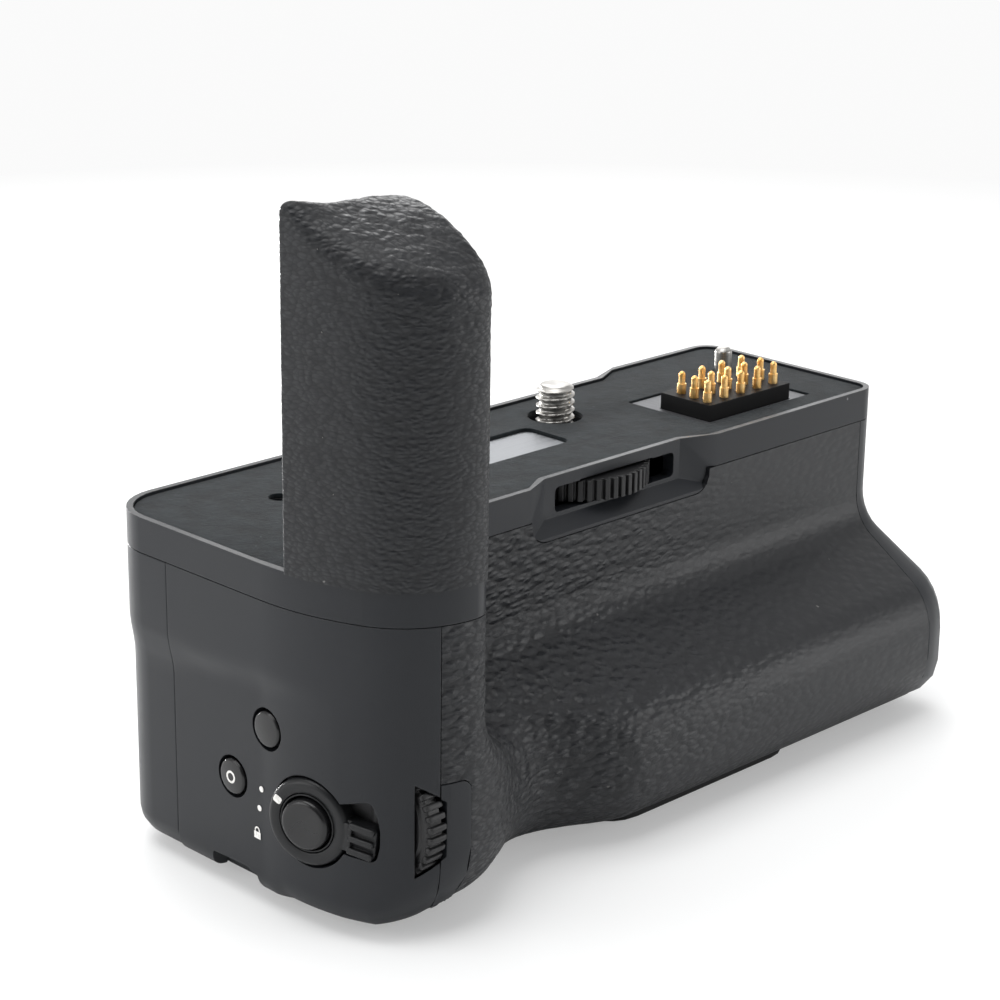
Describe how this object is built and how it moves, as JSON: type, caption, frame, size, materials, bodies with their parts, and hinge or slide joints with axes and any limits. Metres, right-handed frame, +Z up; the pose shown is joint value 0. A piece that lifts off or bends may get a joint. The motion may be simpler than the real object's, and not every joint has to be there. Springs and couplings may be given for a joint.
{
  "type": "camera battery grip",
  "caption": "Camera battery grip with a textured front post, suede deck with contact block and mounting screw, vertical shutter controls, dials and a slide-out battery tray.",
  "frame": {"origin": "mouth of the tripod socket in the foot, on the plane the grip stands on", "axes": "+X along the length, away from the shutter end; +Z up along the tripod and camera screw axes; the front faces -Y"},
  "size_m": [0.1363, 0.0638, 0.1035],
  "materials": {
    "shell": "fine satin",
    "grip_cover": "pebbled",
    "deck_cover": "suede",
    "keys": "semi-gloss",
    "dials": "ribbed",
    "steel": "turned",
    "gold": "plated",
    "plate": "satin",
    "inner": "moulded",
    "board": "solder mask",
    "cell": "smooth"
  },
  "bodies": {
    "grip": {"top_frame": "shell", "deck_pad": "deck_cover", "label_plate": "plate", "connector_plate": "plate", "contact_block": "keys", "guide_pin": "steel", "front_case": "shell", "front_skin": "grip_cover", "end_cover": "shell", "right_end": "shell", "rear_case": "shell", "bottom_cover": "shell", "foot_plate": "grip_cover", "tripod_bush": "steel", "post_core": "shell", "post_skin": "grip_cover", "wheel_spindle": "steel", "drive_bracket": "plate", "control_block": "inner", "shutter_collar": "shell", "front_axle": "steel", "dial_bezel": "shell", "rear_mount": "inner", "rear_axle": "steel", "battery_bay": "inner", "battery_contacts": "gold", "main_board": "board", "case_screws": "steel"},
    "thumbwheel": {"thumbwheel": "dials"},
    "camera_screw": {"camera_screw": "steel", "screw_gear": "gold"},
    "shutter_button": {"shutter_button": "keys"},
    "lock_ring": {"lock_ring": "shell"},
    "fn_button": {"fn_button": "keys"},
    "quick_button": {"quick_button": "keys"},
    "front_dial": {"front_dial": "dials"},
    "rear_dial": {"rear_dial": "dials"},
    "exposure_button": {"exposure_button": "keys"},
    "focus_button": {"focus_button": "keys"},
    "stick_gimbal": {"stick_gimbal": "steel"},
    "focus_stick": {"focus_stick": "dials"},
    "battery_tray": {"battery_tray": "shell", "battery_inner": "cell", "battery_outer": "cell"},
    "tray_latch": {"tray_latch": "shell"},
    "contact_pins": {"contact_pins": "gold"}
  },
  "joints": [
    {"name": "wheel_turn", "type": "hinge", "parent": "grip", "child": "thumbwheel", "pos_m": [-0.00633, -0.0018, 0.049], "axis": [0, 0, 1], "continuous": true},
    {"name": "screw_turn", "type": "hinge", "parent": "grip", "child": "camera_screw", "pos_m": [0.004, 0.0117, 0.049], "axis": [0, 0, 1], "continuous": true},
    {"name": "shutter_button_press", "type": "slide", "parent": "grip", "child": "shutter_button", "axis": [0.9563, 0.2924, 0], "range_m": [0, 0.0012], "stiffness_N_per_m": 500},
    {"name": "lock_ring_turn", "type": "hinge", "parent": "grip", "child": "lock_ring", "pos_m": [-0.07715, -0.0197, 0.0167], "axis": [-0.9563, -0.2924, 0], "range_deg": [0, 20]},
    {"name": "fn_button_press", "type": "slide", "parent": "grip", "child": "fn_button", "axis": [1, 0, 0], "range_m": [0, 0.0008], "stiffness_N_per_m": 400},
    {"name": "quick_button_press", "type": "slide", "parent": "grip", "child": "quick_button", "axis": [1, 0, 0], "range_m": [0, 0.0008], "stiffness_N_per_m": 400},
    {"name": "front_dial_turn", "type": "hinge", "parent": "grip", "child": "front_dial", "pos_m": [-0.0679, -0.0276, 0.0177], "axis": [1, 0, 0], "continuous": true},
    {"name": "rear_dial_turn", "type": "hinge", "parent": "grip", "child": "rear_dial", "pos_m": [-0.063, 0.0184, 0.038], "axis": [1, 0, 0], "continuous": true},
    {"name": "exposure_button_press", "type": "slide", "parent": "grip", "child": "exposure_button", "axis": [0, -1, 0], "range_m": [0, 0.0008], "stiffness_N_per_m": 400},
    {"name": "focus_button_press", "type": "slide", "parent": "grip", "child": "focus_button", "axis": [0, -1, 0], "range_m": [0, 0.0008], "stiffness_N_per_m": 400},
    {"name": "stick_updown", "type": "hinge", "parent": "grip", "child": "stick_gimbal", "pos_m": [-0.042, 0.0195, 0.038], "axis": [1, 0, 0], "range_deg": [-6, 6], "stiffness_Nm_per_rad": 0.01},
    {"name": "stick_leftright", "type": "hinge", "parent": "stick_gimbal", "child": "focus_stick", "pos_m": [-0.042, 0.0195, 0.038], "axis": [0, 0, 1], "range_deg": [-6, 6], "stiffness_Nm_per_rad": 0.01},
    {"name": "tray_slide", "type": "slide", "parent": "grip", "child": "battery_tray", "axis": [1, 0, 0], "range_m": [0, 0.1]},
    {"name": "latch_slide", "type": "slide", "parent": "battery_tray", "child": "tray_latch", "axis": [0, 1, 0], "range_m": [0, 0.004]},
    {"name": "contact_pins_press", "type": "slide", "parent": "grip", "child": "contact_pins", "axis": [0, 0, -1], "range_m": [0, 0.0008], "stiffness_N_per_m": 600}
  ],
  "couplings": [
    {"joint": "wheel_turn", "follows": "screw_turn", "ratio": -1}
  ]
}
